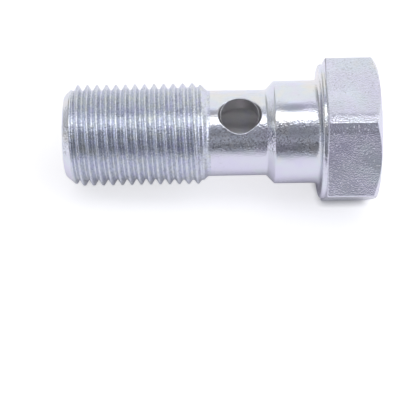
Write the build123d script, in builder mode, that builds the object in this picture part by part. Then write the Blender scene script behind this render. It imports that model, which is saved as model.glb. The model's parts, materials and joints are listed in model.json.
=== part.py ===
from build123d import *

import os
from math import asin, atan2, cos, degrees, hypot, pi, radians, sin, tan

# Banjo bolt: a hollow hexagon bolt that clamps a ring fitting and carries fluid into it, through an
# axial bore from the tip and a cross port in the neck under the shoulder.  One solid, in millimetres.
#
# s is the distance along the bolt from the bearing face under its head: the head is at s > 0 and the
# tip at s < 0.  The bolt lies on z = 0 with its tip towards -X.  It rests on one flat of the hexagon
# and on the rim where the tip's chamfer begins, so its axis dips towards the tip.

# Head
HEX_SIDES = 6
ACROSS_FLATS = 21.5
HEAD_HEIGHT = 8.95  # bearing face to top face
HEX_CORNER_ROUND = 0.3
HEX_UNDER_ROUND = 0.12
TOP_CHAMFER_ANGLE = 30.0  # degrees, between the turned chamfer and the top face
TOP_FACE_INSET = 0.1  # radial, from the flats in to the rim of the top face
WASHER_FACE_HEIGHT = 0.75
WASHER_FACE_INSET = 0.15  # radial, from the flats in to the rim of the washer face
WASHER_FACE_ROUND = 0.45

# Shank
UNDER_HEAD_LENGTH = 39.85  # bearing face to tip
SHOULDER_DIAMETER = 16.2
SHOULDER_LENGTH = 7.0
SHOULDER_FILLET = 0.9  # where the shoulder meets the bearing face
FILLET_SHARE = 0.4  # the most of the bearing face's width that the shoulder's fillet may take
ROUND_SHARE = 0.25  # and the most that the washer face's round may take
SHOULDER_TAPER_ANGLE = 47.0  # degrees, between the taper and the axis
NECK_DIAMETER = 13.5
NECK_FILLET = 0.3
THREAD_DIAMETER = 16.0  # over the crests, held as a plain cylinder
RUN_OUT_LENGTH = 1.7  # neck up to the full thread
TIP_CHAMFER_LENGTH = 1.9
TIP_FACE_DIAMETER = 12.8

# Fluid way
BORE_DIAMETER = 8.0
BORE_MOUTH_CHAMFER = 0.3
BORE_PAST_PORT = 0.4  # full bore carried on beyond the port's wall
DRILL_POINT_ANGLE = 118.0  # degrees, included
PORT_DIAMETER = 5.9
COUNTERSINK_WIDTH = 0.475  # out from the port's wall at the crown of the neck; it dies out to the sides
COUNTERSINK_ANGLE = 82.0  # degrees, included
PORT_TO_TAPER = 1.2  # land on the neck between the port and the shoulder's taper
PORT_TO_RUN_OUT = 1.6  # land on the neck between the port and the thread's run-out
PORT_TURN = 10.1  # degrees, from the upper flat's normal towards -Y

MATCH = 1e-4  # how closely an edge matches the place that it is chosen by

flat_radius = ACROSS_FLATS / 2
corner_radius = flat_radius / cos(pi / HEX_SIDES)
top_face_radius = flat_radius - TOP_FACE_INSET
washer_face_radius = flat_radius - WASHER_FACE_INSET
shoulder_radius = SHOULDER_DIAMETER / 2
neck_radius = NECK_DIAMETER / 2
thread_radius = THREAD_DIAMETER / 2
tip_face_radius = TIP_FACE_DIAMETER / 2
bore_radius = BORE_DIAMETER / 2
port_radius = PORT_DIAMETER / 2
countersink_radius = port_radius + COUNTERSINK_WIDTH

# The fillet and the round leave a flat ring between them, however narrow the bearing face is
face_width = washer_face_radius - shoulder_radius
shoulder_fillet = min(SHOULDER_FILLET, FILLET_SHARE * face_width)
washer_face_round = min(WASHER_FACE_ROUND, ROUND_SHARE * face_width)

# Stations along the bolt, head to tip
taper_length = (shoulder_radius - neck_radius) / tan(radians(SHOULDER_TAPER_ANGLE))
s_shoulder = -SHOULDER_LENGTH
s_neck = s_shoulder - taper_length
s_port = s_neck - PORT_TO_TAPER - port_radius
s_run_out = s_port - port_radius - PORT_TO_RUN_OUT
s_thread = s_run_out - RUN_OUT_LENGTH
s_tip = -UNDER_HEAD_LENGTH
s_chamfer = s_tip + TIP_CHAMFER_LENGTH
s_bore_end = s_port + port_radius + BORE_PAST_PORT
drill_point_length = bore_radius / tan(radians(DRILL_POINT_ANGLE / 2))
s_top_chamfer = HEAD_HEIGHT - (corner_radius - top_face_radius) * tan(radians(TOP_CHAMFER_ANGLE))
s_edge = WASHER_FACE_HEIGHT + HEX_UNDER_ROUND  # where the hexagon reaches its full width

# Rest: the lowest flat touches along its rounded under edge, whose centre line is at s_edge and
# edge_radius from the axis, and the thread touches at the start of the tip's chamfer.
edge_radius = flat_radius - HEX_UNDER_ROUND
rise = edge_radius - thread_radius
run = s_edge - s_chamfer
tilt = atan2(rise, run) + asin(HEX_UNDER_ROUND / hypot(rise, run))
bearing_height = thread_radius * cos(tilt) - s_chamfer * sin(tilt)
head_reach = HEAD_HEIGHT * cos(tilt) + top_face_radius * sin(tilt)
tip_reach = s_tip * cos(tilt) - tip_face_radius * sin(tilt)
bearing_x = -(head_reach + tip_reach) / 2

# Planes: across the bolt at the bearing face, and along it, through a corner of the hexagon, for the
# turned profiles (s, radius)
across = Plane(origin=(bearing_x, 0, bearing_height), x_dir=(0, 1, 0), z_dir=(cos(tilt), 0, sin(tilt)))
along = Plane(origin=across.origin, x_dir=across.z_dir, z_dir=across.y_dir)
bolt_axis = Axis(across.origin, across.z_dir)


def rings(part, s, radius):
    """Circular edges of the part about the bolt's axis, at station s and with this radius."""
    centre = across.from_local_coords(Vector(0, 0, s))
    return part.edges().filter_by(GeomType.CIRCLE).filter_by(
        lambda edge: abs(edge.radius - radius) < MATCH and (edge.arc_center - centre).length < MATCH
    )


with BuildPart() as banjo_bolt:
    # Hexagon, with its corners and its under edges eased
    with BuildSketch(across.offset(WASHER_FACE_HEIGHT)) as hexagon:
        RegularPolygon(flat_radius, HEX_SIDES, major_radius=False)
        fillet(hexagon.vertices(), HEX_CORNER_ROUND)
    extrude(amount=HEAD_HEIGHT - WASHER_FACE_HEIGHT)
    fillet(banjo_bolt.faces().sort_by(bolt_axis)[0].edges(), HEX_UNDER_ROUND)

    # Chamfer turned across the corners of the top face
    with BuildSketch(along):
        with BuildLine():
            Polyline(
                (HEAD_HEIGHT, top_face_radius),
                (HEAD_HEIGHT, corner_radius),
                (s_top_chamfer, corner_radius),
                close=True,
            )
        make_face()
    revolve(axis=bolt_axis, mode=Mode.SUBTRACT)

    # Washer face and shank, turned
    with BuildSketch(along):
        with BuildLine():
            Polyline(
                (s_edge, 0),
                (s_edge, washer_face_radius),
                (0, washer_face_radius),
                (0, shoulder_radius),
                (s_shoulder, shoulder_radius),
                (s_neck, neck_radius),
                (s_run_out, neck_radius),
                (s_thread, thread_radius),
                (s_chamfer, thread_radius),
                (s_tip, tip_face_radius),
                (s_tip, 0),
                close=True,
            )
        make_face()
    revolve(axis=bolt_axis)
    fillet(rings(banjo_bolt, 0, washer_face_radius), washer_face_round)
    fillet(rings(banjo_bolt, 0, shoulder_radius), shoulder_fillet)
    fillet(rings(banjo_bolt, s_shoulder, shoulder_radius) + rings(banjo_bolt, s_neck, neck_radius), NECK_FILLET)

    # Axial bore, drilled from the tip to just past the port, with its drill point
    with BuildSketch(along):
        with BuildLine():
            Polyline(
                (s_tip, 0),
                (s_tip, bore_radius),
                (s_bore_end, bore_radius),
                (s_bore_end + drill_point_length, 0),
                close=True,
            )
        make_face()
    revolve(axis=bolt_axis, mode=Mode.SUBTRACT)
    chamfer(rings(banjo_bolt, s_tip, bore_radius), BORE_MOUTH_CHAMFER)

    # Cross port, drilled through the upper wall of the neck into the bore, and countersunk
    port_direction = across.y_dir * cos(radians(PORT_TURN)) - across.x_dir * sin(radians(PORT_TURN))
    port_centre = across.from_local_coords(Vector(0, 0, s_port))
    port = Plane(origin=port_centre + port_direction * neck_radius, x_dir=across.z_dir, z_dir=port_direction)
    with Locations(port):
        CounterSinkHole(
            port_radius, countersink_radius, depth=neck_radius, counter_sink_angle=COUNTERSINK_ANGLE
        )

banjo_bolt.part.label = "banjo_bolt"

os.makedirs("parts", exist_ok=True)
export_step(banjo_bolt.part, "parts/banjo_bolt.step")
print(f"tilt {degrees(tilt):.3f} degrees, volume {banjo_bolt.part.volume:.1f} mm3")
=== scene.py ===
"""Banjo bolt in bright zinc plate, with its helical thread, drilled ways and eased edges.

The CAD frame says where the bolt lies and how large its interfaces are.  Shapes are worked out in
millimetres about the bolt's own axis, and each vertex is placed in the frame in metres.

s      distance along the axis from the bearing face, positive through the head
turn   angle about the axis in degrees, from the upper flat's normal towards the front (-Y)
"""

import json
import logging
import math
from collections.abc import Callable, Sequence
from dataclasses import dataclass
from enum import Enum

import bmesh
import bpy
from mathutils import Matrix, Vector


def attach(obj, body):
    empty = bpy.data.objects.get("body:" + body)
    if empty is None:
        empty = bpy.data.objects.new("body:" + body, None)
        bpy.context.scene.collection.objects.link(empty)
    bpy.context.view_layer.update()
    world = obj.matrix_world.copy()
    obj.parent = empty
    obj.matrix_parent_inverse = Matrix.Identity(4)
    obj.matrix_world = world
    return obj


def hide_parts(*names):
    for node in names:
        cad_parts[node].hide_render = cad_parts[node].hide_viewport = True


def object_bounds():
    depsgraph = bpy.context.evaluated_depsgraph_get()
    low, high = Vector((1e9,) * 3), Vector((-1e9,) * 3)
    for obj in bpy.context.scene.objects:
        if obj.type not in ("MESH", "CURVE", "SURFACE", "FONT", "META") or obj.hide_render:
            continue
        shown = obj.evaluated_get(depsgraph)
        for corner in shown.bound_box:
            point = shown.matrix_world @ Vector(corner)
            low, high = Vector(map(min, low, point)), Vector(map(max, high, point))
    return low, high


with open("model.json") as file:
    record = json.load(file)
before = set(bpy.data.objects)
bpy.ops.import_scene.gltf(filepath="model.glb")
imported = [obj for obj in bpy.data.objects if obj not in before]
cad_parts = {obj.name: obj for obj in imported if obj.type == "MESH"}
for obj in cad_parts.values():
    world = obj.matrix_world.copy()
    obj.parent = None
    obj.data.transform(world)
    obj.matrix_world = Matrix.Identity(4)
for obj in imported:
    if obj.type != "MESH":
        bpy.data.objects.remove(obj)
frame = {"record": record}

LOG = logging.getLogger("banjo_bolt")
CAD_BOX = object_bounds()
MM = 0.001  # metres in a millimetre
DEGREE = math.radians(1.0)
FULL_TURN = 360.0
HEX_SIDES = 6
SECTOR = FULL_TURN / HEX_SIDES  # between neighbouring corners of the hexagon
FIRST_CORNER = SECTOR / 2  # turn of the corner that faces the front

Point = tuple[float, float]  # (s, radius), or another pair
Place = tuple[float, float, float]  # (s, radius, turn)
Ring = list[bmesh.types.BMVert]
Colour = tuple[float, float, float]
Stops = Sequence[tuple[float, Colour]]  # position and colour of each stop of a colour ramp
WHITE: Colour = (1.0, 1.0, 1.0)
UNLIT_TINT: Colour = (0.96, 0.97, 1.1)  # slightly blue, as the unlit side of a studio is


def smooth_step(low: float, high: float, value: float) -> float:
    """Ease from 0 at low to 1 at high."""
    t = min(max((value - low) / (high - low), 0.0), 1.0)
    return t * t * (3 - 2 * t)


def soft_min(a: float, b: float, blend: float) -> float:
    """The smaller of two lengths, with their crossing rounded over a length of about blend."""
    h = max(blend - abs(a - b), 0.0) / blend
    return min(a, b) - h * h * blend / 4


def soft_max(a: float, b: float, blend: float) -> float:
    """The larger of two lengths, with their crossing rounded over a length of about blend."""
    return -soft_min(-a, -b, blend)


def spread(first: float, last: float, count: int) -> list[float]:
    """Evenly spaced values from first to last, both included."""
    return [first + (last - first) * i / (count - 1) for i in range(count)]


def add_to_scene(name: str, data: bpy.types.ID) -> bpy.types.Object:
    """Make an object in the scene.

    Args:
        name: the object's name.
        data: the mesh, camera or lamp that it holds.

    Returns:
        The object.
    """
    made = bpy.data.objects.new(name, data)
    bpy.context.scene.collection.objects.link(made)
    return made


def add_mesh(name: str, mesh: bmesh.types.BMesh) -> bpy.types.Object:
    """Make an object in the scene from a finished mesh, which is then freed.

    Args:
        name: the object's name.
        mesh: the mesh.

    Returns:
        The object.
    """
    data = bpy.data.meshes.new(name)
    mesh.to_mesh(data)
    mesh.free()
    return add_to_scene(name, data)


class Surface(Enum):
    """Parts of the bolt's skin that are finished in different ways; the value is the material slot."""

    HEADED = 0
    TURNED = 1
    THREADED = 2
    DRILLED = 3
    SUNK = 4  # the port's countersink
    BROKEN = 5  # the edge between the countersink and the port's wall, finished as a painted highlight


def mounts_of(record: dict) -> dict[str, dict]:
    """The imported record's mounts by name."""
    return {mount["name"]: mount for mount in record["mounts"]}


@dataclass(frozen=True)
class BoltAxis:
    """The bolt's own directions, and the centre of its bearing face, in the frame."""

    bearing: Vector
    along: Vector  # tip to head
    up: Vector  # out of the upper flat
    front: Vector  # across the bolt, towards -Y

    @classmethod
    def from_record(cls, record: dict) -> "BoltAxis":
        """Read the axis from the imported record's mounts.

        Args:
            record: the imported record.

        Returns:
            The bolt's axis in the frame.
        """
        mounts = mounts_of(record)
        shoulder = Vector(mounts["shoulder"]["pos_m"])
        along = -Vector(mounts["shoulder"]["axis"]).normalized()
        up = Vector(mounts["wrench_flat_up"]["axis"]).normalized()
        face = Vector(mounts["bearing_face"]["pos_m"])
        return cls(shoulder + along * (face - shoulder).dot(along), along, up, along.cross(up))

    def place(self, s: float, radius: float, turn: float) -> Vector:
        """The frame position of a point given by its station, radius and turn."""
        angle = math.radians(turn)
        return self.offset(s, radius * math.cos(angle), radius * math.sin(angle))

    def offset(self, s: float, up: float, front: float) -> Vector:
        """The frame position of a point given by its station and its distances up and to the front."""
        return self.bearing + (self.along * s + self.up * up + self.front * front) * MM


class Skin:
    """The bolt's skin while it is built: rings of vertices about the axis, and the faces between them."""

    def __init__(self, axis: BoltAxis, turns: list[float]) -> None:
        """Start an empty skin.

        Args:
            axis: the bolt's axis.
            turns: where each whole ring has its vertices.
        """
        self.axis = axis
        self.turns = turns
        self.mesh = bmesh.new()

    def ring(self, places: Sequence[Place]) -> Ring:
        """Add a vertex at each of these places, in order."""
        return [self.mesh.verts.new(self.axis.place(*place)) for place in places]

    def face(self, corners: Sequence[bmesh.types.BMVert], surface: Surface) -> None:
        """Add a face, leaving out corners that coincide.

        Args:
            corners: its vertices, in order round it.
            surface: the surface that it belongs to.
        """
        distinct = list(dict.fromkeys(corners))
        if len(distinct) > 2:
            self.mesh.faces.new(distinct).material_index = surface.value

    def bridge(self, first: Ring, second: Ring, surface: Surface) -> None:
        """Join two rings that have as many vertices as each other, all the way round."""
        for i, vertex in enumerate(first):
            self.face((first[i - 1], vertex, second[i], second[i - 1]), surface)

    def grow(self, last: Ring, places: Sequence[Place], surface: Surface) -> Ring:
        """Carry the skin on by one ring.

        Args:
            last: the ring that it goes on from.
            places: where the new ring's vertices are.
            surface: the surface that the stretch between them belongs to.

        Returns:
            The new ring.
        """
        ring = self.ring(places)
        self.bridge(last, ring, surface)
        return ring

    def turned(self, last: Ring, outline: Sequence[Point], surface: Surface) -> Ring:
        """Carry the skin on from its last ring with whole rings along a turned outline.

        Args:
            last: the ring that the outline goes on from.
            outline: (s, radius) of each new ring.
            surface: the surface that they belong to.

        Returns:
            The final ring.
        """
        for s, radius in outline:
            last = self.grow(last, [(s, radius, turn) for turn in self.turns], surface)
        return last

    def cap(self, ring: Ring, s: float, surface: Surface) -> None:
        """Close a ring with a fan about a vertex on the axis.

        Args:
            ring: the ring.
            s: the vertex's station.
            surface: the surface that the fan belongs to.
        """
        apex = self.mesh.verts.new(self.axis.place(s, 0.0, 0.0))
        for i, vertex in enumerate(ring):
            self.face((ring[i - 1], vertex, apex), surface)

    def stitch(
        self, first: Ring, first_angles: list[float], second: Ring, second_angles: list[float]
    ) -> None:
        """Join two rings of different counts in a drilled way, walking both round by angle.

        Args:
            first: vertices of one ring.
            first_angles: the angle of each, rising, within one turn.
            second: vertices of the other ring.
            second_angles: the angle of each, rising, within one turn.
        """
        i = j = 0
        while i < len(first) or j < len(second):
            ahead_first = first_angles[(i + 1) % len(first)] + FULL_TURN * ((i + 1) // len(first))
            ahead_second = second_angles[(j + 1) % len(second)] + FULL_TURN * ((j + 1) // len(second))
            a, b = first[i % len(first)], second[j % len(second)]
            if j >= len(second) or (i < len(first) and ahead_first <= ahead_second):
                i += 1
                self.face((a, first[i % len(first)], b), Surface.DRILLED)
            else:
                j += 1
                self.face((a, second[j % len(second)], b), Surface.DRILLED)

    def finish(self, name: str, materials: Sequence[bpy.types.Material]) -> bpy.types.Object:
        """Turn the skin into a smooth-shaded object.

        Args:
            name: the object's name.
            materials: one for each Surface, in order.

        Returns:
            The object, linked to the scene.
        """
        bmesh.ops.recalc_face_normals(self.mesh, faces=self.mesh.faces)
        piece = add_mesh(name, self.mesh)
        piece.data.shade_smooth()
        for material in materials:
            piece.data.materials.append(material)
        return piece


@dataclass(frozen=True)
class Columns:
    """The turns at which every ring of the skin has a vertex, closer together at the hexagon's corners."""

    near_corner: tuple[float, ...] = (  # degrees from a corner
        0.0, 0.25, 0.5, 0.7, 0.95, 2.2, 4.0, 4.9, 5.6, 6.2, 6.75, 7.3, 7.9, 8.6
    )
    wide_steps: int = 8  # from the last of them to the middle of a flat

    def turns(self) -> list[float]:
        """Work out every column's turn.

        Returns:
            The turns, rising, from the first corner round to just before it again.
        """
        wide = spread(self.near_corner[-1], SECTOR / 2, self.wide_steps + 1)[1:]
        half = list(self.near_corner) + wide
        sector = half + [SECTOR - offset for offset in reversed(half[1:-1])]
        return [FIRST_CORNER + SECTOR * side + offset for side in range(HEX_SIDES) for offset in sector]


@dataclass(frozen=True)
class Corner:
    """A corner of a turned outline, with the radius that rounds it."""

    s: float
    radius: float
    round: float = 0.0


@dataclass(frozen=True)
class Outline:
    """A turned outline: corners joined by straight lines, each rounded by an arc."""

    corners: Sequence[Corner]
    arc_steps: int = 4
    hold: float = 0.08  # a ring this far beyond each arc keeps the shading of the flat true

    def points(self) -> list[Point]:
        """Work out the outline's points.

        Returns:
            The points, as many for any radii that aren't zero.
        """
        found: list[Point] = []
        last = len(self.corners) - 1
        for i, corner in enumerate(self.corners):
            at = Vector((corner.s, corner.radius))
            if corner.round == 0 or i in (0, last):
                found.append((at.x, at.y))
                continue
            before = (Vector((self.corners[i - 1].s, self.corners[i - 1].radius)) - at).normalized()
            after = (Vector((self.corners[i + 1].s, self.corners[i + 1].radius)) - at).normalized()
            half = before.angle(after) / 2
            reach = corner.round / math.tan(half)
            centre = at + (before + after).normalized() * corner.round / math.sin(half)
            start, end = at + before * reach - centre, at + after * reach - centre
            swing = start.angle_signed(end)
            found.append(tuple(at + before * (reach + self.hold)))
            for step in range(self.arc_steps + 1):
                found.append(tuple(centre + Matrix.Rotation(-swing * step / self.arc_steps, 2) @ start))
            found.append(tuple(at + after * (reach + self.hold)))
        return found


@dataclass
class Head:
    """The hexagon with its chamfered top, and the washer face under it."""

    across_flats: float = 21.5
    height: float = 8.95
    corner_round: float = 0.3
    washer_height: float = 0.75
    washer_inset: float = 0.15
    top_inset: float = 0.1
    top_chamfer: float = 30.0  # degrees, from the top face
    under_round: float = 0.12  # under edge at the middle of a flat
    under_round_corner: float = 0.28
    top_round: float = 0.12
    top_round_corner: float = 0.25
    eased_corners: tuple[float, ...] = (FIRST_CORNER, FIRST_CORNER + FULL_TURN / 2)
    eased_reach: float = 6.75  # degrees from the corner where the eased strip begins
    eased_tilt: float = 10.6  # degrees that the strip turns from its flat
    eased_blend: float = 0.09  # length over which the strip's radius and the flat's cross
    top_rings: tuple[float, ...] = (10.3, 9.0, 7.4, 5.6, 3.6, 1.8)  # radii
    hold: float = 0.02  # as in Outline

    @property
    def flat(self) -> float:
        """Distance from the axis to a flat."""
        return self.across_flats / 2

    @property
    def washer_radius(self) -> float:
        """Radius of the washer face's rim."""
        return self.flat - self.washer_inset

    def radius_at(self, turn: float) -> float:
        """Distance from the axis to the hexagon's wall.

        Args:
            turn: the turn at which it is wanted.

        Returns:
            The distance.
        """
        nearest = round((turn - FIRST_CORNER) / SECTOR)
        offset = abs(turn - FIRST_CORNER - nearest * SECTOR)
        corner = (FIRST_CORNER + nearest * SECTOR) % FULL_TURN
        wall = self.wall_radius(offset, 0.0)
        if corner in self.eased_corners:
            return soft_min(wall, self.wall_radius(offset, self.eased_tilt), self.eased_blend)
        return wall

    def wall_radius(self, offset: float, tilt: float) -> float:
        """Distance from the axis to a flat, or to a strip hinged on it, with the corner rounded.

        Args:
            offset: degrees from the corner.
            tilt: degrees that the strip turns from the flat.

        Returns:
            The distance.
        """
        half, lean = math.radians(SECTOR / 2), math.radians(tilt)
        hinge = half - math.radians(self.eased_reach)
        flat = self.flat / math.cos(hinge) * math.cos(hinge - lean) if tilt else self.flat
        wall = half - lean
        centre = (flat - self.corner_round) / math.cos(wall)
        tangent = math.atan2(centre * math.sin(wall), flat)
        angle = math.radians(offset)
        if angle < wall - tangent:
            across = centre * math.sin(angle)
            return centre * math.cos(angle) + math.sqrt(self.corner_round**2 - across**2)
        return flat / math.cos(wall - angle)

    def outline(self, turn: float) -> Outline:
        """Outline the head, from the washer face's rim to the top face.

        Args:
            turn: the turn at which the outline is wanted.

        Returns:
            The outline.
        """
        wall = self.radius_at(turn)
        share = (wall - self.flat) / (self.flat / math.cos(math.radians(SECTOR / 2)) - self.flat)
        top = self.flat - self.top_inset
        drop = (wall - top) * math.tan(math.radians(self.top_chamfer))
        under = self.under_round + (self.under_round_corner - self.under_round) * share
        over = self.top_round + (self.top_round_corner - self.top_round) * share
        return Outline(
            (
                Corner(self.washer_height, self.washer_radius),
                Corner(self.washer_height, wall, under),
                Corner(self.height - drop, wall, over),
                Corner(self.height, top, self.top_round),
                Corner(self.height, self.top_rings[0]),
            ),
            hold=self.hold,
        )

    def build(self, skin: Skin, rim: Ring) -> None:
        """Add the head to the skin.

        Args:
            skin: the skin so far.
            rim: the ring at the root of the washer face.
        """
        outlines = [self.outline(turn).points() for turn in skin.turns]
        last = rim
        for points in list(zip(*outlines))[1:]:
            places = [(*point, turn) for point, turn in zip(points, skin.turns)]
            last = skin.grow(last, places, Surface.HEADED)
        last = skin.turned(last, [(self.height, radius) for radius in self.top_rings[1:]], Surface.HEADED)
        skin.cap(last, self.height, Surface.HEADED)


@dataclass
class Thread:
    """A right-hand fine thread with flat crests, rounded roots and sides at sixty degrees."""

    radius: float
    pitch: float = 1.5
    depth: float = 0.92
    crest_half: float = 0.0625  # of a pitch
    root_half: float = 0.0835  # of a pitch
    bend: float = 0.07  # share of a side over which it curves into crest and root
    crest_at: float = -36.017  # station of a crest at turn 0
    shallow_from: float = -27.35  # the depth falls off from here to the end of the thread
    shallow_to: float = -18.35
    shallow_share: float = 0.28
    falling: tuple[float, ...] = (0.0, 0.055, 0.085, 0.2, 0.32, 0.4, 0.45)  # rows, crest to root

    def fractions(self) -> list[float]:
        """Where the skin has rows of vertices within a pitch, as fractions of it from a crest."""
        return [*self.falling, 0.5, *(1 - fraction for fraction in reversed(self.falling[1:]))]

    def side(self, t: float) -> float:
        """Work out the profile of a side of the thread, with its ends curved over the bend.

        Args:
            t: how far across the side, 0 at the crest and 1 at the root.

        Returns:
            How far down it is there, 0 to 1.
        """
        if t < self.bend:
            return max(t + self.bend, 0.0) ** 2 / (4 * self.bend)
        if t > 1 - self.bend:
            return 1 - max(1 - t + self.bend, 0.0) ** 2 / (4 * self.bend)
        return t

    def radius_at(self, s: float, turn: float) -> float:
        """Radius of the thread's surface, before the tip's chamfer and the run-out cut it.

        Args:
            s: station.
            turn: turn about the axis.

        Returns:
            The radius.
        """
        phase = (s - self.crest_at) / self.pitch - turn / FULL_TURN
        away = abs(phase - round(phase))
        side = (away - self.crest_half) / (0.5 - self.crest_half - self.root_half)
        shallow = 1 - self.shallow_share * smooth_step(self.shallow_from, self.shallow_to, s)
        return self.radius - self.depth * shallow * self.side(side)


@dataclass
class Shank:
    """Everything under the head: bearing face, shoulder, taper, neck, thread and tip."""

    thread: Thread
    shoulder_radius: float
    washer_radius: float
    washer_height: float
    shoulder_length: float = 7.0
    shoulder_fillet: float = 0.9
    washer_round: float = 0.45
    taper_angle: float = 47.0
    neck_radius: float = 6.75
    neck_end: float = -16.959
    neck_margin: float = 0.6  # length below the taper that has no window
    neck_rows: int = 22
    neck_round: float = 0.5
    shoulder_round: float = 0.3
    upper_arc_steps: int = 6
    run_out_start: float = -17.42  # station where the cone of the run-out leaves the neck
    run_out_slope: float = 1.03  # rise of that cone for each millimetre towards the tip
    run_out_round: float = 0.22
    tip: float = -39.85
    tip_face_radius: float = 6.4
    tip_round: float = 0.22
    chamfer_length: float = 1.9
    crest_round: float = 0.12
    plain_tip: float = 1.15  # length of the chamfer that the thread doesn't reach

    @property
    def neck_start(self) -> float:
        """Station where the taper meets the neck."""
        drop = self.shoulder_radius - self.neck_radius
        return -self.shoulder_length - drop / math.tan(math.radians(self.taper_angle))

    def envelope(self, s: float) -> float:
        """Radius that the tip's chamfer, the crests and the run-out keep the thread within.

        Args:
            s: station.

        Returns:
            The radius.
        """
        slope = (self.thread.radius - self.tip_face_radius) / self.chamfer_length
        chamfer = self.tip_face_radius + (s - self.tip) * slope
        cone = self.neck_radius + (self.run_out_start - s) * self.run_out_slope
        run_out = soft_max(self.neck_radius, cone, self.run_out_round)
        return soft_min(chamfer, soft_min(self.thread.radius, run_out, self.crest_round), self.crest_round)

    def threaded(self, s: float, turn: float) -> float:
        """Radius of the shank between the tip and the neck."""
        return soft_min(self.thread.radius_at(s, turn), self.envelope(s), self.crest_round)

    def build_thread(self, skin: Skin) -> tuple[Ring, Ring]:
        """Add the threaded part, with its rows of vertices following the helix.

        Rows that run out past either end of the thread are gathered into one flat ring there.

        Args:
            skin: the skin so far.

        Returns:
            The ring at the tip's end and the ring at the neck.
        """
        turns, pitch = skin.turns, self.thread.pitch
        start = self.tip + self.tip_round
        ends = [
            skin.ring([(s, self.threaded(s, turn), turn) for turn in turns]) for s in (start, self.neck_end)
        ]
        fractions = self.thread.fractions()
        per_pitch = len(fractions)
        pitches = math.ceil((self.neck_end - start) / pitch) + 2
        base = self.thread.crest_at + pitch * (math.floor((start - self.thread.crest_at) / pitch) - 1)
        placed: dict[tuple[int, int], bmesh.types.BMVert] = {}

        def vertex(row: int, column: int) -> bmesh.types.BMVert:
            """Find or add the vertex of a helical row, or find that of the end ring it has run into.

            Args:
                row: the row, counted along the bolt.
                column: the column; one past the last carries on in the row a pitch higher.

            Returns:
                The vertex.
            """
            if column == len(turns):
                row, column = row + per_pitch, 0
            whole, part = divmod(row, per_pitch)
            rise = (turns[column] - turns[0]) / FULL_TURN
            s = base + pitch * (whole + fractions[part] + rise + turns[0] / FULL_TURN)
            if s <= start:
                return ends[0][column]
            if s >= self.neck_end:
                return ends[1][column]
            if (row, column) not in placed:
                turn = turns[column]
                placed[row, column] = skin.mesh.verts.new(skin.axis.place(s, self.threaded(s, turn), turn))
            return placed[row, column]

        for row in range(-per_pitch, pitches * per_pitch):
            for column in range(len(turns)):
                s = base + pitch * (row / per_pitch + turns[column] / FULL_TURN)
                surface = Surface.TURNED if s < self.tip + self.plain_tip else Surface.THREADED
                steps = ((0, 0), (0, 1), (1, 1), (1, 0))
                skin.face([vertex(row + up, column + along) for up, along in steps], surface)
        return ends[0], ends[1]

    def neck_stations(self) -> list[float]:
        """Stations of the neck's rings, from the first beyond the thread's last to just below the taper."""
        rows = spread(self.neck_end, self.neck_start - self.neck_margin, self.neck_rows)
        return rows[1:] + [self.neck_start - self.neck_margin / 2]

    def build_upper(self, skin: Skin, last: Ring) -> Ring:
        """Add the taper, shoulder, bearing face and washer face.

        Args:
            skin: the skin so far.
            last: the ring at the neck's upper end.

        Returns:
            The ring at the root of the washer face.
        """
        corners = (
            Corner(self.neck_start - self.neck_margin, self.neck_radius),
            Corner(self.neck_start, self.neck_radius, self.neck_round),
            Corner(-self.shoulder_length, self.shoulder_radius, self.shoulder_round),
            Corner(0.0, self.shoulder_radius, self.shoulder_fillet),
            Corner(0.0, self.washer_radius, self.washer_round),
            Corner(self.washer_height, self.washer_radius),
        )
        outline = Outline(corners, self.upper_arc_steps)
        return skin.turned(last, outline.points()[1:], Surface.TURNED)


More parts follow.
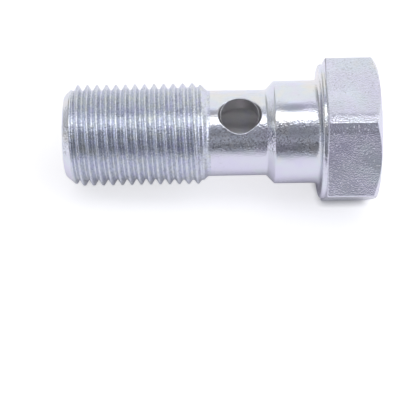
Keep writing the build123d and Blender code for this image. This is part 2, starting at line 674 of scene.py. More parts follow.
@dataclass
class Port:
    """The countersunk cross port, and the windows in the neck and the bore that it opens."""

    station: float
    turn: float
    radius: float
    neck: float
    bore: float
    sink_width: float = 0.475  # out from the port's wall at the crown of the neck
    sink_angle: float = 82.0
    edge_break: float = 0.09  # width of the broken edge where the countersink has died out
    edge_round: float = 0.15
    knee_round: float = 0.2
    bore_round: float = 0.12
    margin: float = 0.12  # skin between an edge and the window's last ring
    side_margin: float = 3.0  # degrees of turn between the window's side and the whole columns
    patch_rings: int = 6
    patch_crowding: float = 1.5  # the higher, the closer these rings crowd at the port
    edge_rounds: int = 12  # of working out where the cone leaves the neck
    hold: float = 0.02  # as in Outline

    def angle(self, s: float, turn: float, wall: float) -> float:
        """Angle about the port's axis, 0 to 360, of a point on a wall of that radius."""
        across = wall * math.sin(math.radians(turn - self.turn))
        return math.degrees(math.atan2(across, s - self.station)) % FULL_TURN

    @staticmethod
    def spoke(reach: float, angle: float) -> Point:
        """How far along and across the bolt a place at this reach and angle about the port's axis is."""
        return reach * math.cos(math.radians(angle)), reach * math.sin(math.radians(angle))

    def on_wall(self, reach: float, angle: float, wall: float) -> Place:
        """(s, radius, turn) of the point on a wall at this reach and angle about the port's axis."""
        along, across = self.spoke(reach, angle)
        return self.station + along, wall, self.turn + math.degrees(math.asin(across / wall))

    def in_hole(self, skin: Skin, reach: float, angle: float, height: float) -> bmesh.types.BMVert:
        """Add a vertex inside the port.

        Args:
            skin: the skin so far.
            reach: its distance from the port's axis.
            angle: its angle about that axis.
            height: its height from the bolt's axis, along the port's.

        Returns:
            The vertex.
        """
        along, across = self.spoke(reach, angle)
        port_turn = math.radians(self.turn)
        up = height * math.cos(port_turn) - across * math.sin(port_turn)
        front = height * math.sin(port_turn) + across * math.cos(port_turn)
        return skin.mesh.verts.new(skin.axis.offset(self.station + along, up, front))

    def height(self, reach: float, angle: float, wall: float) -> float:
        """Height from the bolt's axis of a wall of that radius, at this reach and angle."""
        return math.sqrt(wall**2 - self.spoke(reach, angle)[1] ** 2)

    def edge_reach(self, angle: float) -> float:
        """Reach of the opening's edge on the neck, where the cone or the broken edge leaves it.

        Args:
            angle: angle about the port's axis.

        Returns:
            The reach.
        """
        slope = math.tan(math.radians(self.sink_angle / 2))
        least = self.radius + self.edge_break
        reach = least
        for _ in range(self.edge_rounds):
            sunk = self.neck - self.height(reach, angle, self.neck)
            reach = max(least, self.radius + self.sink_width - sunk * slope)
        return reach

    def neck_window(self, angle: float) -> float:
        """Reach at which the neck's skin ends."""
        return self.edge_reach(angle) + self.margin

    def bore_window(self, angle: float) -> float:
        """Reach at which the bore's skin ends, the same at every angle."""
        return self.radius + self.bore_round + self.margin / 2

    def outline(self, angle: float) -> Outline:
        """Outline the port as (reach, height), from the neck's skin to the bore's.

        Args:
            angle: the angle about its axis at which the outline is wanted.

        Returns:
            The outline.
        """
        edge = self.edge_reach(angle)
        top = self.height(edge, angle, self.neck)
        knee = top - (edge - self.radius) / math.tan(math.radians(self.sink_angle / 2))
        outer, inner = self.neck_window(angle), self.bore_window(angle)
        return Outline(
            (
                Corner(outer, self.height(outer, angle, self.neck)),
                Corner(edge, top, self.edge_round),
                Corner(self.radius, knee, self.knee_round),
                Corner(self.radius, self.height(self.radius, angle, self.bore), self.bore_round),
                Corner(inner, self.height(inner, angle, self.bore)),
            ),
            hold=self.hold,
        )

    def build_wall(
        self, skin: Skin, rows: list[float], wall: float, rim: Callable[[float], float], surface: Surface
    ) -> tuple[Ring, Ring, Ring, list[float]]:
        """Add a stretch of round wall with a window, and fit the window with a patch down to the port.

        Args:
            skin: the skin so far.
            rows: the stations of the wall's rings, rising.
            wall: the wall's radius.
            rim: gives the reach at which the patch ends, from the angle about the port's axis.
            surface: the surface that the wall belongs to.

        Returns:
            The wall's first and last rings, the patch's inner ring, and that ring's angles.
        """
        rings = [skin.ring([(s, wall, turn) for turn in skin.turns]) for s in rows]
        count = len(skin.turns)
        off = [(turn - self.turn + FULL_TURN / 2) % FULL_TURN - FULL_TURN / 2 for turn in skin.turns]
        half_width = math.degrees(math.asin(rim(FULL_TURN / 4) / wall)) + self.side_margin
        inside = [abs(offset) < half_width for offset in off]
        left = next(i for i in range(count) if inside[i] and not inside[i - 1]) - 1
        columns = [(left + i) % count for i in range(sum(inside) + 2)]
        low = max(i for i, s in enumerate(rows) if s < self.station - rim(FULL_TURN / 2) - self.margin)
        high = min(i for i, s in enumerate(rows) if s > self.station + rim(0.0) + self.margin)
        for row, (lower, upper) in enumerate(zip(rings, rings[1:])):
            for column in range(count):
                if not (low <= row < high and column in columns[:-1]):
                    after = (column + 1) % count
                    skin.face((lower[column], lower[after], upper[after], upper[column]), surface)
        edge = [(low, c) for c in columns]
        edge += [(row, columns[-1]) for row in range(low + 1, high + 1)]
        edge += [(high, c) for c in reversed(columns[:-1])]
        edge += [(row, columns[0]) for row in range(high - 1, low, -1)]
        edge = sorted((self.angle(rows[row], self.turn + off[c], wall), row, c) for row, c in edge)
        angles = [angle for angle, _, _ in edge]
        across = [wall * math.sin(math.radians(offset)) for offset in off]
        reaches = [math.hypot(rows[row] - self.station, across[c]) for _, row, c in edge]
        last = [rings[row][c] for _, row, c in edge]
        for step in range(1, self.patch_rings + 1):
            share = (1 - step / self.patch_rings) ** self.patch_crowding
            kept = [rim(angle) + (reach - rim(angle)) * share for reach, angle in zip(reaches, angles)]
            places = [self.on_wall(reach, angle, wall) for reach, angle in zip(kept, angles)]
            last = skin.grow(last, places, surface)
        return rings[0], rings[-1], last, angles

    def build_hole(self, skin: Skin, rim: Ring, angles: list[float]) -> Ring:
        """Add the countersink and the port's wall, down to the bore's skin.

        Args:
            skin: the skin so far.
            rim: the neck patch's inner ring.
            angles: that ring's angles about the port's axis.

        Returns:
            The last ring, on the bore's skin.
        """
        outlines = [self.outline(angle) for angle in angles]
        per_edge = outlines[0].arc_steps + 3  # points that an Outline gives each rounded corner
        bands = [Surface.TURNED] * per_edge + [Surface.SUNK] + [Surface.BROKEN] * (per_edge - 1)
        bands += [Surface.DRILLED] * (per_edge + 1)
        last = rim
        for points, band in zip(list(zip(*(outline.points() for outline in outlines)))[1:], bands):
            ring = [
                self.in_hole(skin, reach, angle, height) for (reach, height), angle in zip(points, angles)
            ]
            skin.bridge(last, ring, band)
            last = ring
        return last


@dataclass
class FluidWay:
    """The axial bore with its drill point, and the port that opens it to the neck."""

    bore: float
    port: Port
    past_port: float = 0.4
    drill_point: float = 118.0
    end_margin: float = 0.06  # from the bore's last plain ring to its end
    mouth: float = 0.3
    mouth_edge_round: float = 0.08
    mouth_round: float = 0.15
    mouth_hold: float = 0.03
    mouth_lead: float = 1.2  # from the tip to the bore's first plain ring
    tip_edge: tuple[Point, ...] = ((0.066, 0.08), (0.02, 0.0), (0.0, -0.1))  # round the face's rim
    tip_edge_inset: float = 0.11  # from the tip's radius in to that rim
    face_rings: tuple[float, ...] = (0.75, 0.35)  # shares of the way from the mouth to the rim
    point_rings: tuple[float, ...] = (0.0, 0.08, 0.4, 0.75)  # shares of the way down the drill point
    wall_step: float = 1.1
    window_step: float = 0.55

    @property
    def end(self) -> float:
        """Station where the bore's full width ends."""
        return self.port.station + self.port.radius + self.past_port

    def build(self, skin: Skin, shank: Shank, tip_ring: Ring) -> tuple[Ring, list[float]]:
        """Add the tip's face, the bore and its drill point.

        Args:
            skin: the skin so far.
            shank: the shank that the bore is drilled in.
            tip_ring: the thread's first ring, which the tip's face joins.

        Returns:
            The bore patch's inner ring, where the port comes in, and its angles.
        """
        rim, mouth = shank.tip_face_radius - self.tip_edge_inset, self.bore + self.mouth
        face = [(shank.tip + s, rim + radius) for s, radius in self.tip_edge]
        face += [(shank.tip, mouth + (rim - mouth) * share) for share in self.face_rings]
        last = skin.turned(tip_ring, face, Surface.TURNED)
        corners = (
            Corner(shank.tip, mouth + self.mouth),
            Corner(shank.tip, mouth, self.mouth_edge_round),
            Corner(shank.tip + self.mouth, self.bore, self.mouth_round),
            Corner(shank.tip + self.mouth_lead, self.bore),
        )
        edges = Outline(corners, hold=self.mouth_hold).points()[1:-1]
        last = skin.turned(last, edges, Surface.DRILLED)
        start = shank.tip + self.mouth_lead
        window = self.port.station - self.port.bore_window(0.0) - self.window_step
        rows = spread(start, window, math.ceil((window - start) / self.wall_step))
        steps = math.ceil((self.end - window) / self.window_step) + 1
        rows += spread(window, self.end - self.end_margin, steps)[1:]
        first, final, opening, angles = self.port.build_wall(
            skin, rows, self.bore, self.port.bore_window, Surface.DRILLED
        )
        skin.bridge(last, first, Surface.DRILLED)
        length = self.bore / math.tan(math.radians(self.drill_point / 2))
        point = [(self.end + length * share, self.bore * (1 - share)) for share in self.point_rings]
        skin.cap(skin.turned(final, point, Surface.DRILLED), self.end + length, Surface.DRILLED)
        return opening, angles


class Sock:
    """One socket of a node, so that shader maths reads as an expression on values."""

    def __init__(self, graph: "Graph", socket: bpy.types.NodeSocket) -> None:
        """Wrap an output socket of a node in the graph."""
        self.graph = graph
        self.socket = socket

    def __add__(self, other: "Sock | float") -> "Sock":
        """This value plus another."""
        return self.graph.maths("ADD", self, other)

    __radd__ = __add__

    def __sub__(self, other: "Sock | float") -> "Sock":
        """This value less another."""
        return self.graph.maths("SUBTRACT", self, other)

    def __rsub__(self, other: float) -> "Sock":
        """A number less this value."""
        return self.graph.maths("SUBTRACT", other, self)

    def __mul__(self, other: "Sock | float") -> "Sock":
        """This value times another."""
        return self.graph.maths("MULTIPLY", self, other)

    __rmul__ = __mul__

    def __truediv__(self, other: "Sock | float") -> "Sock":
        """This value divided by another."""
        return self.graph.maths("DIVIDE", self, other)

    def __rtruediv__(self, other: float) -> "Sock":
        """A number divided by this value."""
        return self.graph.maths("DIVIDE", other, self)

    def ramp(self, low: float, high: float) -> "Sock":
        """Ease this value into a share.

        Args:
            low: where the share is 0.
            high: where it is 1, above low or below it.

        Returns:
            The share.
        """
        settings = {"interpolation_type": "SMOOTHSTEP"}
        inputs = {"Value": self, "From Min": low, "From Max": high, "To Min": 0.0, "To Max": 1.0}
        return self.graph.add("ShaderNodeMapRange", settings, inputs)


@dataclass(frozen=True)
class Pattern:
    """A noise pattern: its feature size in millimetres, its layers, and how strong the finer ones are."""

    size: float
    detail: float = 2.0
    roughness: float = 0.6


class Graph:
    """Adds nodes to one node tree."""

    def __init__(self, tree: bpy.types.NodeTree) -> None:
        """Empty the tree and start on it."""
        self.tree = tree
        tree.nodes.clear()

    @classmethod
    def of_material(cls, name: str) -> tuple[bpy.types.Material, "Graph"]:
        """Make a material.

        Args:
            name: its name.

        Returns:
            The material, and the graph of its nodes.
        """
        material = bpy.data.materials.new(name)
        material.use_nodes = True
        return material, cls(material.node_tree)

    def add(self, kind: str, settings: dict, inputs: dict, output: str | int = 0) -> Sock:
        """Add one node.

        Args:
            kind: the node's type.
            settings: its own settings by name, set before its sockets; stops are a ramp's colours.
            inputs: a value or a link for each named or numbered input socket.
            output: the output socket that is wanted.

        Returns:
            The wanted output socket.
        """
        node = self.tree.nodes.new(kind)
        for name, value in settings.items():
            if name == "stops":
                self.set_stops(node.color_ramp, value)
            else:
                setattr(node, name, value)
        for name, value in inputs.items():
            if isinstance(value, Sock):
                self.tree.links.new(value.socket, node.inputs[name])
            else:
                node.inputs[name].default_value = value
        return Sock(self, node.outputs[output]) if node.outputs else Sock(self, None)

    @staticmethod
    def set_stops(ramp: bpy.types.ColorRamp, stops: Stops) -> None:
        """Give a colour ramp its stops.

        Args:
            ramp: the ramp.
            stops: what it is given.
        """
        while len(ramp.elements) > 1:
            ramp.elements.remove(ramp.elements[-1])
        for i, (position, colour) in enumerate(stops):
            element = ramp.elements[0] if i == 0 else ramp.elements.new(position)
            element.position = position
            element.color = (*colour, 1.0)

    def maths(self, operation: str, *values: Sock | float) -> Sock:
        """Add a Math node that works on these values."""
        return self.add("ShaderNodeMath", {"operation": operation}, dict(enumerate(values)))

    def mix(
        self, share: Sock | float, first: "Sock | Colour", second: "Sock | Colour", blend: str = "MIX"
    ) -> Sock:
        """Mix two colours.

        Args:
            share: how much of the second.
            first: one colour.
            second: the other.
            blend: the blend type.

        Returns:
            The mixed colour.
        """
        colours = [c if isinstance(c, Sock) else (*c, 1.0) for c in (first, second)]
        settings = {"data_type": "RGBA", "blend_type": blend}
        return self.add("ShaderNodeMix", settings, {0: share, 6: colours[0], 7: colours[1]}, 2)

    def place(self) -> Sock:
        """Position on the object, in metres."""
        return self.add("ShaderNodeTexCoord", {}, {}, "Object")

    def dot(self, vector: Sock, direction: Vector) -> Sock:
        """Length of a vector along a fixed direction."""
        inputs = {0: vector, 1: tuple(direction)}
        return self.add("ShaderNodeVectorMath", {"operation": "DOT_PRODUCT"}, inputs, "Value")

    def noise(self, vector: Sock, pattern: Pattern) -> Sock:
        """Add a noise pattern.

        Args:
            vector: where it is looked up, in metres.
            pattern: the pattern.

        Returns:
            Its value, about 0.5 on average.
        """
        inputs = {"Vector": vector, "Scale": 1 / (pattern.size * MM)}
        inputs |= {"Detail": pattern.detail, "Roughness": pattern.roughness}
        return self.add("ShaderNodeTexNoise", {}, inputs)


# Tints of the passivate as its film grows thicker: violet, blue-white, cyan, then pale yellow
PLAIN_FILM = (
    (0.0, (0.73, 0.71, 0.86)),
    (0.38, (0.75, 0.74, 0.855)),
    (0.5, (0.76, 0.765, 0.845)),
    (0.6, (0.745, 0.785, 0.84)),
    (0.7, (0.785, 0.795, 0.80)),
    (0.85, (0.81, 0.79, 0.76)),
)
# The same where it lies thicker in the thread, more blue and green
THREAD_FILM = (
    (0.25, (0.72, 0.725, 0.89)),
    (0.42, (0.735, 0.765, 0.87)),
    (0.55, (0.745, 0.79, 0.85)),
    (0.7, (0.775, 0.80, 0.79)),
)
# Thin and dull inside the drilled ways; near white on the broken edge, a painted highlight along its arc
DRILLED_FILM = ((0.3, (0.78, 0.78, 0.84)), (0.45, (0.80, 0.81, 0.80)), (0.6, (0.84, 0.80, 0.83)))
PAINTED_EDGE_HIGHLIGHT = ((0.3, (0.97, 0.97, 1.0)), (0.7, WHITE))


@dataclass(frozen=True)
class ZincPlate:
    """Bright zinc plate with a clear-blue passivate, on steel that was made in one of several ways."""

    name: str
    film: Stops = PLAIN_FILM
    film_pattern: Pattern = Pattern(3.0)
    film_swing: float = 0.0  # how far the film's thickness rises and falls round the bolt
    film_from: float = 0.4  # radians of turn from its thickest place to the upper flat's normal
    shade: float = 1.0  # painted shade: the share of the plate's brightness that it keeps
    # colour of the soil specks, and of the painted shade specks on the speckled side
    soil_and_painted_shade: Colour = (0.30, 0.30, 0.33)
    soiling: float = 0.25
    soil_pattern: Pattern = Pattern(0.5, 3.0, 0.7)
    soil_edge: Point = (0.6, 0.72)  # where specks of soil begin and are full
    soil_clouds: Pattern = Pattern(5.0, 3.0, 0.5)
    clouds_edge: Point = (0.35, 0.65)
    soil_roughness: float = 0.3
    roughness: float = 0.22
    roughness_swing: float = 0.12
    roughness_pattern: Pattern = Pattern(0.35, 4.0, 0.65)
    grain: float = 0.004  # millimetres high, like the bumps, pits, lathe lines and knocks below
    grain_pattern: Pattern = Pattern(0.22)
    bumps: float = 0.0
    bump_pattern: Pattern = Pattern(0.17, 1.0, 0.5)
    bump_clouds: Pattern = Pattern(6.0, 1.0, 0.5)
    bump_edge: Point = (0.35, 0.6)
    least_bumps: float = 0.2  # share of the bumps that is left between the clouds
    pits: float = 0.0
    pit_spacing: float = 0.6
    pit_edge: Point = (0.2, 0.05)  # share of the spacing at a pit's rim and at its floor
    lathe: float = 0.0
    lathe_pitch: float = 0.1
    lathe_detail: float = 2.0
    dents_and_painted_specks: float = 0.0  # how strong the painted shade specks and painted glint specks are on the speckled side; it also switches on the dents there
    speckled_turn: Point = (0.36, 1.05)  # radians of turn between which that side lies, the upper front that faces the camera
    speckled_soft: Point = (0.08, 0.12)  # how gradually it begins and ends
    speckled_clouds: Pattern = Pattern(1.6)
    speckled_clouds_edge: Point = (0.36, 0.6)
    least_speckled: float = 0.25  # share of the painted specks and dents that is left between the clouds
    painted_shade_speck_pattern: Pattern = Pattern(0.28, roughness=0.65)
    painted_shade_speck_edge: Point = (0.49, 0.62)
    # colour of the painted glint specks
    painted_glint: Colour = (0.95, 0.97, 1.0)
    painted_glint_pattern: Pattern = Pattern(0.24, 1.0)
    painted_glint_edge: Point = (0.58, 0.66)
    knocks: float = 0.045
    knock_pattern: Pattern = Pattern(0.32, 1.0, 0.5)

    def material(self, axis: BoltAxis) -> bpy.types.Material:
        """Make the material.

        Args:
            axis: the bolt's axis, which the lathe's lines run about.

        Returns:
            The finished material.
        """
        made, graph = Graph.of_material(self.name)
        at = graph.place()
        clouds = graph.noise(at, self.soil_clouds).ramp(*self.clouds_edge)
        specks = graph.noise(at, self.soil_pattern).ramp(*self.soil_edge) * clouds
        up = graph.dot(at, axis.up) - axis.bearing.dot(axis.up)
        front = graph.dot(at, axis.front) - axis.bearing.dot(axis.front)
        turn = graph.maths("ARCTAN2", front, up)
        swing = graph.maths("COSINE", turn + self.film_from) * self.film_swing
        film = graph.noise(at, self.film_pattern) + swing
        tinted = graph.add("ShaderNodeValToRGB", {"stops": self.film}, {0: film})
        colour = graph.mix(specks * self.soiling, tinted, self.soil_and_painted_shade)
        # Painted shade: the colour is darkened by the shade factor
        if self.shade < 1:
            colour = graph.mix(1.0, colour, (self.shade,) * 3, "MULTIPLY")
        # Painted shade and painted glints: dark and near-white specks on the side towards the camera
        side = self.speckled_side(graph, at, turn) if self.dents_and_painted_specks else 0.0
        if self.dents_and_painted_specks:
            painted_shade_specks = graph.noise(at, self.painted_shade_speck_pattern).ramp(*self.painted_shade_speck_edge) * side
            painted_glint = graph.noise(at, self.painted_glint_pattern).ramp(*self.painted_glint_edge) * side
            colour = graph.mix(painted_shade_specks * self.dents_and_painted_specks, colour, self.soil_and_painted_shade)
            colour = graph.mix(painted_glint * self.dents_and_painted_specks, colour, self.painted_glint)
        fine = graph.noise(at, self.roughness_pattern)
        rough = self.roughness + (fine - 0.5) * self.roughness_swing
        rough = rough + specks * (self.soiling * self.soil_roughness)
        height = self.relief(graph, at, axis, side)
        bump = graph.add("ShaderNodeBump", {}, {"Strength": 1.0, "Distance": MM, "Height": height})
        inputs = {"Base Color": colour, "Metallic": 1.0, "Roughness": rough, "Normal": bump}
        shader = graph.add("ShaderNodeBsdfPrincipled", {}, inputs)
        graph.add("ShaderNodeOutputMaterial", {}, {"Surface": shader})
        return made

    def speckled_side(self, graph: Graph, at: Sock, turn: Sock) -> Sock:
        """How far each place lies on the side that gets painted shade specks, painted glints and dents, 0
        to 1.

        Args:
            graph: the material's graph.
            at: position on the object.
            turn: its turn about the axis, in radians.

        Returns:
            The share.
        """
        (low, high), (starting, ending) = self.speckled_turn, self.speckled_soft
        side = turn.ramp(low - starting, low + starting) * turn.ramp(high + ending, high - ending)
        clouds = graph.noise(at, self.speckled_clouds).ramp(*self.speckled_clouds_edge)
        return side * (clouds * (1 - self.least_speckled) + self.least_speckled)

    def relief(self, graph: Graph, at: Sock, axis: BoltAxis, side: Sock | float) -> Sock:
        """Height of the surface's relief in millimetres.

        Args:
            graph: the material's graph.
            at: position on the object.
            axis: the bolt's axis.
            side: how far it lies on the speckled side, where dents are added.

        Returns:
            The height.
        """
        height = graph.noise(at, self.grain_pattern) * self.grain
        if self.bumps:
            clouds = graph.noise(at, self.bump_clouds).ramp(*self.bump_edge)
            patches = clouds * (1 - self.least_bumps) + self.least_bumps
            height = height + graph.noise(at, self.bump_pattern) * patches * self.bumps
        if self.dents_and_painted_specks:
            height = height + graph.noise(at, self.knock_pattern) * side * self.knocks
        if self.pits:
            inputs = {"Vector": at, "Scale": 1 / (self.pit_spacing * MM), "Randomness": 1.0}
            near = graph.add("ShaderNodeTexVoronoi", {}, inputs, "Distance")
            height = height - near.ramp(*self.pit_edge) * self.pits
        if self.lathe:
            inputs = {"W": graph.dot(at, axis.along), "Scale": 1 / (self.lathe_pitch * MM)}
            inputs["Detail"] = self.lathe_detail
            line = graph.add("ShaderNodeTexNoise", {"noise_dimensions": "1D"}, inputs)
            height = height + line * self.lathe
        return height


@dataclass
class Bolt:
    """The whole bolt, made as one piece."""

    axis: BoltAxis
    head: Head
    shank: Shank
    way: FluidWay

    @classmethod
    def from_record(cls, record: dict) -> "Bolt":
        """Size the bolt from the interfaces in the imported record.

        Args:
            record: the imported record.

        Returns:
            The bolt, ready to build.
        """
        axis = BoltAxis.from_record(record)
        mounts = mounts_of(record)
        radius = {name: mount["dims"].get("r_mm", 0.0) for name, mount in mounts.items()}
        port_at = Vector(mounts["cross_port"]["pos_m"]) - axis.bearing
        port_axis = Vector(mounts["cross_port"]["axis"])
        port_turn = math.degrees(math.atan2(port_axis.dot(axis.front), port_axis.dot(axis.up)))
        head = Head()
        shank = Shank(Thread(radius["thread"]), radius["shoulder"], head.washer_radius, head.washer_height)
        station = port_at.dot(axis.along) / MM
        port = Port(station, port_turn, radius["cross_port"], shank.neck_radius, radius["fluid_bore"])
        return cls(axis, head, shank, FluidWay(radius["fluid_bore"], port))

    def build(self) -> bpy.types.Object:
        """Build and dress the bolt.

        Returns:
            Its one piece.
        """
        skin = Skin(self.axis, Columns().turns())
        tip_ring, neck_ring = self.shank.build_thread(skin)
        port, neck = self.way.port, self.shank.neck_radius
        first, last, rim, angles = port.build_wall(
            skin, self.shank.neck_stations(), neck, port.neck_window, Surface.TURNED
        )
        skin.bridge(neck_ring, first, Surface.TURNED)
        inner = port.build_hole(skin, rim, angles)
        self.head.build(skin, self.shank.build_upper(skin, last))
        opening, opening_angles = self.way.build(skin, self.shank, tip_ring)
        skin.stitch(inner, angles, opening, opening_angles)
        piece = skin.finish("banjo_bolt_plated", [finish.material(self.axis) for finish in self.finishes()])
        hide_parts("banjo_bolt")
        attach(piece, "root")
        return piece

    @staticmethod
    def finishes() -> list[ZincPlate]:
        """List the finishes.

        Returns:
            The finish of each Surface, in order.
        """
        return [
            ZincPlate(
                "zinc_on_headed_steel",
                film_pattern=Pattern(7.0),
                bumps=0.045,
                pits=0.12,
                roughness=0.14,
                soiling=0.2,
            ),
            ZincPlate(
                "zinc_on_turned_steel",
                film_pattern=Pattern(4.0),
                film_swing=0.17,
                bumps=0.035,
                roughness=0.14,
                lathe=0.0015,
                # painted shade specks and painted glints on the upper front side
                dents_and_painted_specks=0.8,
            ),
            ZincPlate(
                "zinc_on_rolled_thread",
                film=THREAD_FILM,
                film_pattern=Pattern(1.3),
                # painted shade: the thread's colour is a little darker than the plate elsewhere, for the
                # shade between its flanks
                shade=0.93,
                grain=0.012,
                bumps=0.05,
                roughness=0.26,
                soiling=0.5,
                # painted shade specks and painted glints over the thread, but not its underside
                dents_and_painted_specks=0.5,
                knocks=0.03,
                speckled_turn=(-2.0, 2.6),
            ),
            ZincPlate(
                "thin_zinc_in_drilled_way", film=DRILLED_FILM, roughness=0.46, lathe=0.003, soiling=0.3
            ),
            # the countersink's colour is darkened to 0.3, painted shade in the recess
            ZincPlate("thin_zinc_in_countersink", film=DRILLED_FILM, shade=0.3, roughness=0.4, lathe=0.002),
            # near white and rough: a painted highlight along the broken edge
            ZincPlate("zinc_on_broken_edge", film=PAINTED_EDGE_HIGHLIGHT, roughness=0.75, soiling=0.1),
        ]


@dataclass(frozen=True)
class Viewpoint:
    """The camera, given by where the bolt's bearing face lies in its view."""

    aim: tuple[float, float, float] = (18.608, 10.847, -210.474)  # bearing face in view axes, millimetres
    roll: float = 0.017  # radians that the bolt's axis rises to the right
    yaw: float = 0.007  # radians that its head comes towards the camera
    flat_lean: float = 32.7  # degrees that the upper flat's normal leans up from the line of sight
    focal_length: float = 119.76
    sensor: float = 36.0
    clip_start: float = 0.01

    def camera(self, axis: BoltAxis) -> bpy.types.Object:
        """Make the camera.

        Args:
            axis: the bolt's axis in the frame.

        Returns:
            The camera, set as the scene's own.
        """
        tip = Matrix.Rotation(self.roll, 3, "Z") @ Matrix.Rotation(-self.yaw, 3, "Y")
        lean = math.radians(self.flat_lean)
        along = tip @ Vector((1, 0, 0))
        up = tip @ Vector((0, math.sin(lean), math.cos(lean)))
        in_view = Matrix((along, up, along.cross(up)))  # rows: the bolt's directions in view axes
        in_frame = Matrix((axis.along, axis.up, axis.front)).transposed()
        turned = in_frame @ in_view
        data = bpy.data.cameras.new("camera")
        data.lens = self.focal_length
        data.sensor_width = self.sensor
        data.clip_start = self.clip_start
        made = add_to_scene("camera", data)
        place = axis.bearing - turned @ Vector(self.aim) * MM
        made.matrix_world = Matrix.Translation(place) @ turned.to_4x4()
        bpy.context.scene.camera = made
        return made


@dataclass(frozen=True)
class Card:
    """A studio card: a strip of a cylinder about the bolt, seen only in reflections."""

    name: str
    low: float  # degrees above the front horizon, over the top to the back
    high: float
    stops: Stops
    left: float = -0.9
    right: float = 0.9
    reach: float = 0.7
    steps: int = 12

    def build(self) -> bpy.types.Object:
        """Make the card, with its brightness graded from its low edge to its high edge.

        Returns:
            The card.
        """
        mesh = bmesh.new()
        edges = []
        for angle in spread(self.low, self.high, self.steps):
            y, z = -self.reach * math.cos(math.radians(angle)), self.reach * math.sin(math.radians(angle))
            edges.append([mesh.verts.new((x, y, z)) for x in (self.left, self.right)])
        for first, second in zip(edges, edges[1:]):
            mesh.faces.new((first[0], first[1], second[1], second[0]))
        card = add_mesh(self.name, mesh)
        card.visible_camera = False
        material, graph = Graph.of_material(self.name)
        at = graph.place()
        front, height = graph.dot(at, Vector((0, -1, 0))), graph.dot(at, Vector((0, 0, 1)))
        share = (graph.maths("ARCTAN2", height, front) / DEGREE - self.low) / (self.high - self.low)
        shade = graph.add("ShaderNodeValToRGB", {"stops": self.stops}, {0: share})
        glow = graph.add("ShaderNodeEmission", {}, {"Color": shade, "Strength": 1.0})
        graph.add("ShaderNodeOutputMaterial", {}, {"Surface": glow})
        card.data.materials.append(material)
        return card


def graded(*levels: Point) -> Stops:
    """Stops in the unlit tint, from (position, level) pairs."""
    return tuple((position, tuple(level * part for part in UNLIT_TINT)) for position, level in levels)


FRONT_STOPS = graded(
    (0.0, 0.57), (0.06, 0.455), (0.12, 0.375), (0.18, 0.27), (0.24, 0.205), (0.35, 0.19), (0.41, 0.31),
    (0.48, 0.44), (0.56, 0.33), (0.68, 0.26), (0.79, 0.27), (0.85, 0.34), (0.91, 0.49), (0.95, 0.74),
    (1.0, 1.0),
)
LEFT_STOPS = graded((0.0, 0.8), (0.3, 0.6), (0.6, 0.5), (1.0, 0.4))
RIGHT_STOPS = graded((0.0, 0.85), (0.15, 0.5), (0.3, 0.45), (0.5, 0.9), (0.7, 1.5), (1.0, 1.9))
BACK_STOPS = graded(
    (0.0, 0.74), (0.1, 0.55), (0.25, 0.44), (0.5, 0.42), (0.74, 0.56), (0.87, 0.92), (1.0, 1.18)
)


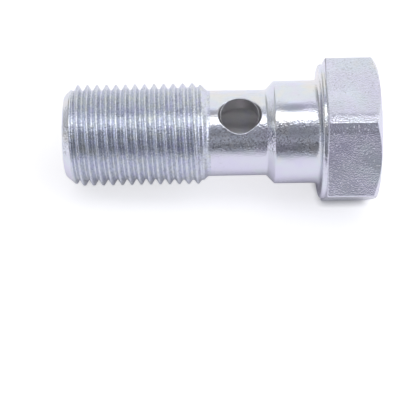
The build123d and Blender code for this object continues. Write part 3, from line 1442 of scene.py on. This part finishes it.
@dataclass(frozen=True)
class Studio:
    """White table, white surroundings, a soft strip lamp overhead and dark cards towards the camera."""

    table_half: float = 3.0
    table_colour: Colour = (0.6, 0.6, 0.61)
    table_glow: float = 0.62  # added for the camera alone, so that the table reads as white
    contact: float = 0.0012  # metres, how near the bolt the table's glow is shaded
    mirrored_contact: float = 0.009  # metres, the same where the plate shows the table
    contact_samples: int = 8
    table_in_plate: Colour = (0.43, 0.42, 0.45)  # added where the plate shows the table
    backdrop: float = 0.98
    tip_end: float = 0.4  # brightness beyond the tip
    tip_range: Point = (0.0, -0.6)  # how far along it begins and is full, as the cosine of a direction
    head_end: float = 1.0  # brightness beyond the head
    head_range: Point = (0.3, 0.8)
    lamp_height: float = 0.7
    lamp_width: float = 0.22
    lamp_length: float = 2.4
    lamp_at: Point = (0.25, -0.02)  # a little towards the head, and to the front
    lamp_radiance: float = 1.3
    cards: tuple[Card, ...] = (
        Card("front_card", -2.0, 79.0, FRONT_STOPS, left=-0.35, right=0.09, reach=0.25),
        Card("left_card", -2.0, 79.0, LEFT_STOPS, left=-0.9, right=-0.35, reach=0.25),
        Card("right_card", -2.0, 79.0, RIGHT_STOPS, left=0.09, right=0.9, reach=0.25),
        Card("back_card", 98.5, 125.0, BACK_STOPS),
    )

    def build(self, floor_height: float) -> None:
        """Set up the table, the surroundings, the lamp and the cards.

        Args:
            floor_height: height of the table's top in the frame.
        """
        self.table(floor_height)
        self.surroundings()
        self.lamp()
        for card in self.cards:
            card.build()
        bpy.context.scene.view_settings.view_transform = "Standard"

    def table(self, height: float) -> None:
        """Add a plain white table top that keeps the bolt's shadow.

        Args:
            height: its height in the frame.
        """
        mesh = bmesh.new()
        bmesh.ops.create_grid(mesh, x_segments=1, y_segments=1, size=self.table_half)
        bmesh.ops.translate(mesh, vec=(0, 0, height), verts=mesh.verts)
        table = add_mesh("table", mesh)
        material, graph = Graph.of_material("white_table")
        seen = graph.add("ShaderNodeLightPath", {}, {}, "Is Camera Ray")
        mirrored = graph.add("ShaderNodeLightPath", {}, {}, "Is Glossy Ray")
        settings = {"samples": self.contact_samples}
        near, under = (
            graph.add("ShaderNodeAmbientOcclusion", settings, {"Distance": reach}, "AO")
            for reach in (self.contact, self.mirrored_contact)
        )
        colour = graph.mix(mirrored, WHITE, self.table_in_plate)
        strength = seen * self.table_glow * near + mirrored * under
        matt = graph.add("ShaderNodeBsdfDiffuse", {}, {"Color": (*self.table_colour, 1.0)})
        glow = graph.add("ShaderNodeEmission", {}, {"Color": colour, "Strength": strength})
        both = graph.add("ShaderNodeAddShader", {}, {0: matt, 1: glow})
        graph.add("ShaderNodeOutputMaterial", {}, {"Surface": both})
        table.data.materials.append(material)

    def surroundings(self) -> None:
        """A white world for the camera, which the plate sees a little darker towards the bolt's ends."""
        world = bpy.data.worlds.new("white_surroundings")
        world.use_nodes = True
        graph = Graph(world.node_tree)
        seen = graph.add("ShaderNodeLightPath", {}, {}, "Is Camera Ray")
        towards = graph.add("ShaderNodeTexCoord", {}, {}, "Generated")
        along = graph.dot(towards, Vector((1, 0, 0)))
        tip_share, head_share = along.ramp(*self.tip_range), along.ramp(*self.head_range)
        level = self.backdrop - tip_share * (self.backdrop - self.tip_end)
        level = level - head_share * (self.backdrop - self.head_end)
        strength = level + seen * (1 - level)
        air = graph.add("ShaderNodeBackground", {}, {"Color": (*WHITE, 1.0), "Strength": strength})
        graph.add("ShaderNodeOutputWorld", {}, {"Surface": air})
        bpy.context.scene.world = world

    def lamp(self) -> None:
        """A soft strip lamp straight above the bolt, along it."""
        data = bpy.data.lights.new("strip_lamp", "AREA")
        data.shape = "RECTANGLE"
        data.size = self.lamp_length
        data.size_y = self.lamp_width
        data.energy = self.lamp_radiance * math.pi * self.lamp_length * self.lamp_width
        lamp = add_to_scene("strip_lamp", data)
        lamp.location = (*self.lamp_at, self.lamp_height)
        lamp.visible_camera = False


def main() -> None:
    """Build the bolt, the camera and the studio, and report each piece."""
    logging.basicConfig(level=logging.INFO, format="%(message)s")
    bolt = Bolt.from_record(frame["record"])
    piece = bolt.build()
    LOG.info("%s: %d vertices, %d faces", piece.name, len(piece.data.vertices), len(piece.data.polygons))
    camera = Viewpoint().camera(bolt.axis)
    LOG.info("%s: %.1f mm lens", camera.name, camera.data.lens)
    Studio().build(CAD_BOX[0][2])


if __name__ == "__main__":
    main()
